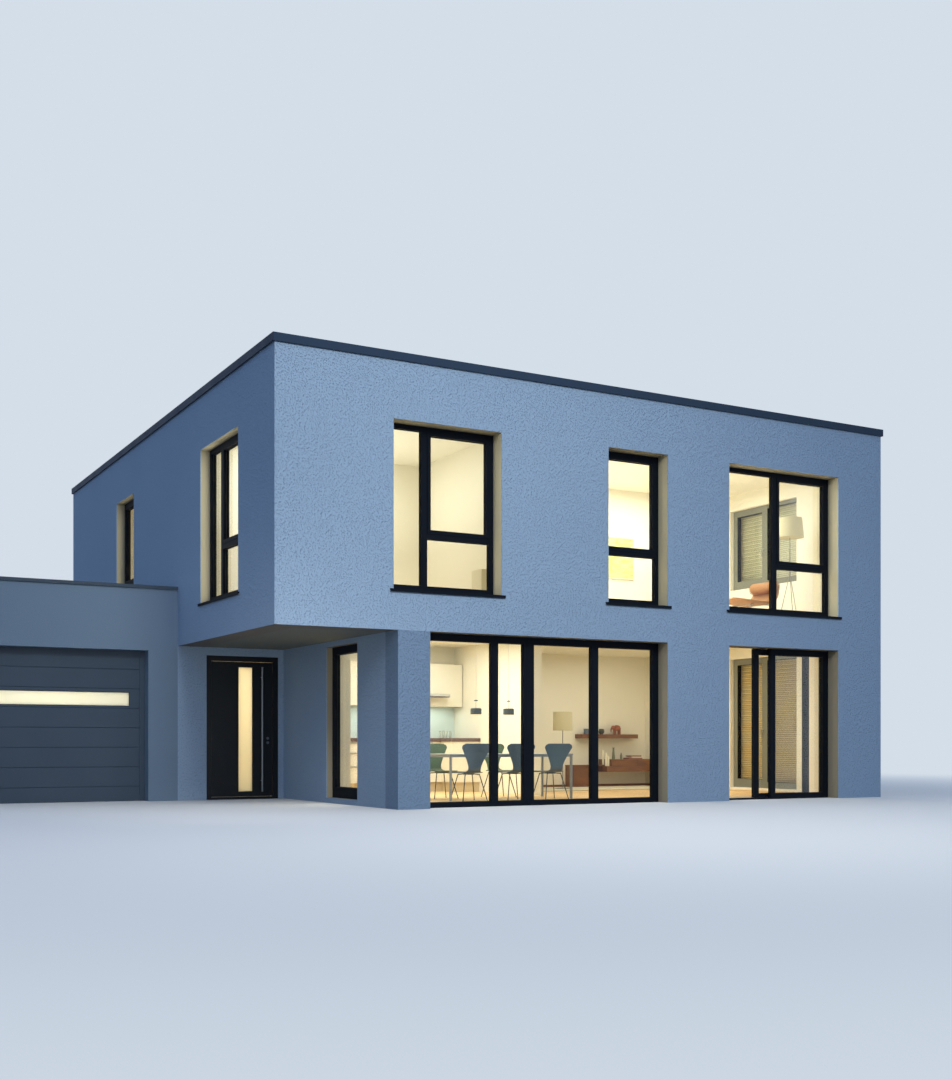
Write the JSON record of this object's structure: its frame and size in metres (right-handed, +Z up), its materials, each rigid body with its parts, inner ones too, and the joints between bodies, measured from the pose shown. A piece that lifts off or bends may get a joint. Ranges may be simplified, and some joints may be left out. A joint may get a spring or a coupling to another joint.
{
  "type": "detached house",
  "caption": "Cube-shaped flat-roofed detached house of two storeys with a recessed corner porch, tall dark-framed windows, a sliding terrace door and a low flat-roofed garage.",
  "frame": {"origin": "middle of the footprint's bounding box, on the ground under the house", "axes": "+X runs along the front to the right as seen from outside, +Y runs from the front to the back, +Z is up"},
  "size_m": [14.79, 11.92, 6.2],
  "materials": {
    "render": "fine scratched render, pale blue-grey",
    "concrete": "smooth concrete, white underneath",
    "roofing": "grey roof covering",
    "frame": "anthracite powder coat, satin",
    "door_paint": "anthracite powder coat, satin",
    "edge_metal": "slate-blue coated sheet",
    "garage_metal": "grey coated steel, satin",
    "steel": "brushed",
    "blind_metal": "coated aluminium slats, satin",
    "plaster": "smooth painted plaster",
    "cabinet": "cream lacquer, with a walnut worktop",
    "furniture_metal": "dark grey coat",
    "chair_shell": "slate-blue lacquer on moulded plywood",
    "lamp_shade": "cream fabric",
    "wood": "oiled walnut",
    "leather": "tan leather",
    "picture": "print on pale yellow paper",
    "textile": "cream wool",
    "glass": "clear"
  },
  "bodies": {
    "house": {"ground_floor_slab": "concrete", "upper_floor_slab": "concrete", "roof_slabs": "roofing", "roof_edges": "edge_metal", "porch_soffit": "render", "porch_column": "render", "porch_side_wall": "render", "entrance_walls": "render", "entrance_lintel": "render", "front_piers": "render", "ground_left_wall": "render", "ground_back_wall": "render", "ground_right_wall": "render", "upper_front_wall": "render", "upper_left_wall": "render", "upper_back_wall": "render", "upper_right_wall": "render", "garage_front_wall": "render", "garage_left_wall": "render", "garage_back_wall": "render", "garage_door": "garage_metal", "garage_door_frame": "garage_metal", "garage_door_glass": "glass", "terrace_glazing_frame": "frame", "terrace_glazing_glass": "glass", "terrace_door_frame": "frame", "entrance_door_frame": "frame", "window_frames": "frame", "window_glass": "glass", "window_sills": "frame", "window_blinds": "blind_metal", "partitions": "plaster", "kitchen_units": "cabinet", "cooker_hood": "steel", "dining_table": "furniture_metal", "dining_chairs": "chair_shell", "pendant_lamps": "furniture_metal", "floor_lamps": "lamp_shade", "wall_shelf": "wood", "sideboards": "wood", "lounge_chair": "leather", "wall_picture": "picture", "rug": "textile"},
    "entrance_leaf": {"entrance_door_leaf": "door_paint", "entrance_door_glass": "glass", "entrance_door_handles": "steel"},
    "terrace_leaf": {"terrace_door_leaf": "frame", "terrace_door_glass": "glass", "terrace_door_handle": "steel"}
  },
  "joints": [
    {"name": "entrance_hinge", "type": "hinge", "parent": "house", "child": "entrance_leaf", "pos_m": [-2.878, -1.488, 1.1], "axis": [0, 0, 1], "range_deg": [0, 90]},
    {"name": "terrace_slide", "type": "slide", "parent": "house", "child": "terrace_leaf", "axis": [1, 0, 0], "range_m": [-0.715, 0.27]}
  ]
}
